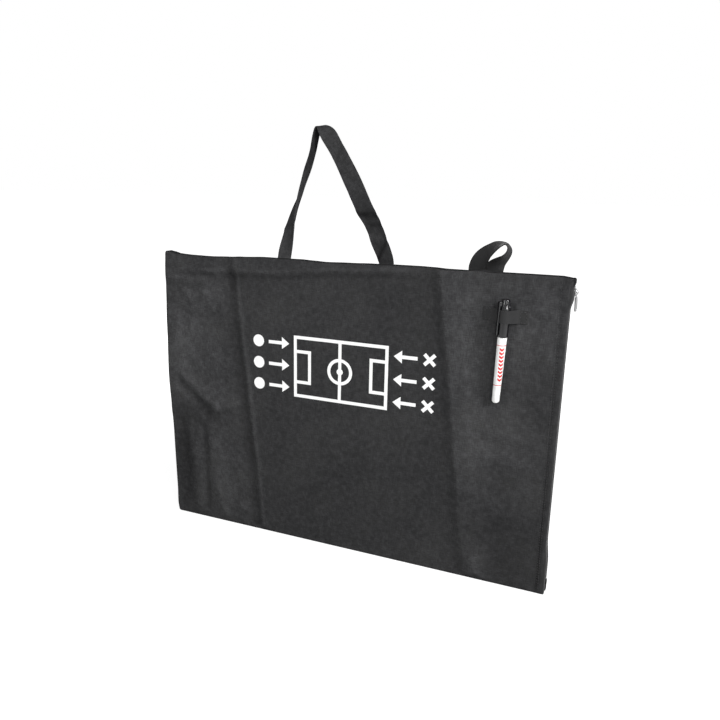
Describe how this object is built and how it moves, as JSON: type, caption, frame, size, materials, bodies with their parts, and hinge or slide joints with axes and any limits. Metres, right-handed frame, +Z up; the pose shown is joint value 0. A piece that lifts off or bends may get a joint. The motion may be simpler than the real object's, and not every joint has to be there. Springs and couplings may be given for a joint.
{
  "type": "tactics board",
  "caption": "Rigid coaching board in a flat zipped cloth bag with a carry strap, a hang loop and a marker held in an elastic loop on its front.",
  "frame": {"origin": "middle of the bag's underside, half way between its front and back panels", "axes": "+X to the right across the bag, towards its zip; +Y from the front, which carries the marker, to the back; +Z up"},
  "size_m": [0.6046, 0.0482, 0.6163],
  "materials": {
    "bag_cloth": "woven, matt with a slight sheen",
    "strap_webbing": "woven flat strap",
    "loop_webbing": "ribbed webbing",
    "elastic": "flat elastic",
    "zip_tape": "woven tape",
    "zip_teeth": "moulded",
    "zip_metal": "plated, worn bright",
    "cap_plastic": "glossy black",
    "liner_plastic": "natural",
    "barrel_plastic": "glossy white",
    "nib_felt": "felt",
    "board_white": "gloss white, wipes clean",
    "board_core": "foamed sheet",
    "frame_metal": "satin",
    "corner_plastic": "moulded",
    "rivet_metal": "flush"
  },
  "bodies": {
    "bag": {"front_panel": "bag_cloth", "back_panel": "bag_cloth", "bottom_gusset": "bag_cloth", "top_gusset": "bag_cloth", "left_gusset": "bag_cloth", "pen_loop": "elastic", "strap_sewn_ends": "strap_webbing", "loop_sewn_ends": "loop_webbing", "zip_tape_front": "zip_tape", "zip_tape_rear": "zip_tape", "zip_teeth_front": "zip_teeth", "zip_teeth_rear": "zip_teeth", "zip_top_stops": "zip_metal", "zip_bottom_stop": "zip_metal", "zip_top_tab": "bag_cloth", "zip_bottom_tab": "bag_cloth"},
    "strap": {"carry_strap": "strap_webbing"},
    "loop": {"hang_loop": "loop_webbing"},
    "slider": {"zip_slider": "zip_metal", "slider_bail": "zip_metal"},
    "pull": {"zip_pull": "zip_metal"},
    "cap": {"marker_cap": "cap_plastic", "cap_liner": "liner_plastic"},
    "barrel": {"marker_barrel": "barrel_plastic", "marker_end_plug": "barrel_plastic", "marker_nib_holder": "cap_plastic", "marker_nib": "nib_felt", "marker_ink_filler": "nib_felt"},
    "board": {"board_face": "board_white", "board_core": "board_core", "board_back": "board_white", "frame_top": "frame_metal", "frame_bottom": "frame_metal", "frame_left": "frame_metal", "frame_right": "frame_metal", "corner_top_left": "corner_plastic", "corner_top_right": "corner_plastic", "corner_bottom_left": "corner_plastic", "corner_bottom_right": "corner_plastic", "corner_rivets": "rivet_metal"}
  },
  "joints": [
    {"name": "strap_fold", "type": "hinge", "parent": "bag", "child": "strap", "pos_m": [-0.028, 0.0116, 0.4341], "axis": [1, 0, 0], "range_deg": [-165, 75]},
    {"name": "loop_fold", "type": "hinge", "parent": "bag", "child": "loop", "pos_m": [0.1876, 0.0113, 0.434], "axis": [1, 0, 0], "range_deg": [-150, 20]},
    {"name": "zip_slide", "type": "slide", "parent": "bag", "child": "slider", "axis": [0, 0, -1], "range_m": [0, 0.386], "deforming": ["zip_teeth_front", "zip_teeth_rear"]},
    {"name": "pull_swing", "type": "hinge", "parent": "slider", "child": "pull", "pos_m": [0.30285, 0.0043, 0.4151], "axis": [0, -1, 0], "range_deg": [0, 170]},
    {"name": "marker_out", "type": "slide", "parent": "bag", "child": "cap", "axis": [0, 0, 1], "range_m": [0, 0.13]},
    {"name": "cap_off", "type": "slide", "parent": "cap", "child": "barrel", "axis": [0, 0, -1], "range_m": [0, 0.045]},
    {"name": "board_out", "type": "slide", "parent": "bag", "child": "board", "axis": [1, 0, 0], "range_m": [0, 0.6], "deforming": ["zip_tape_front"]}
  ]
}
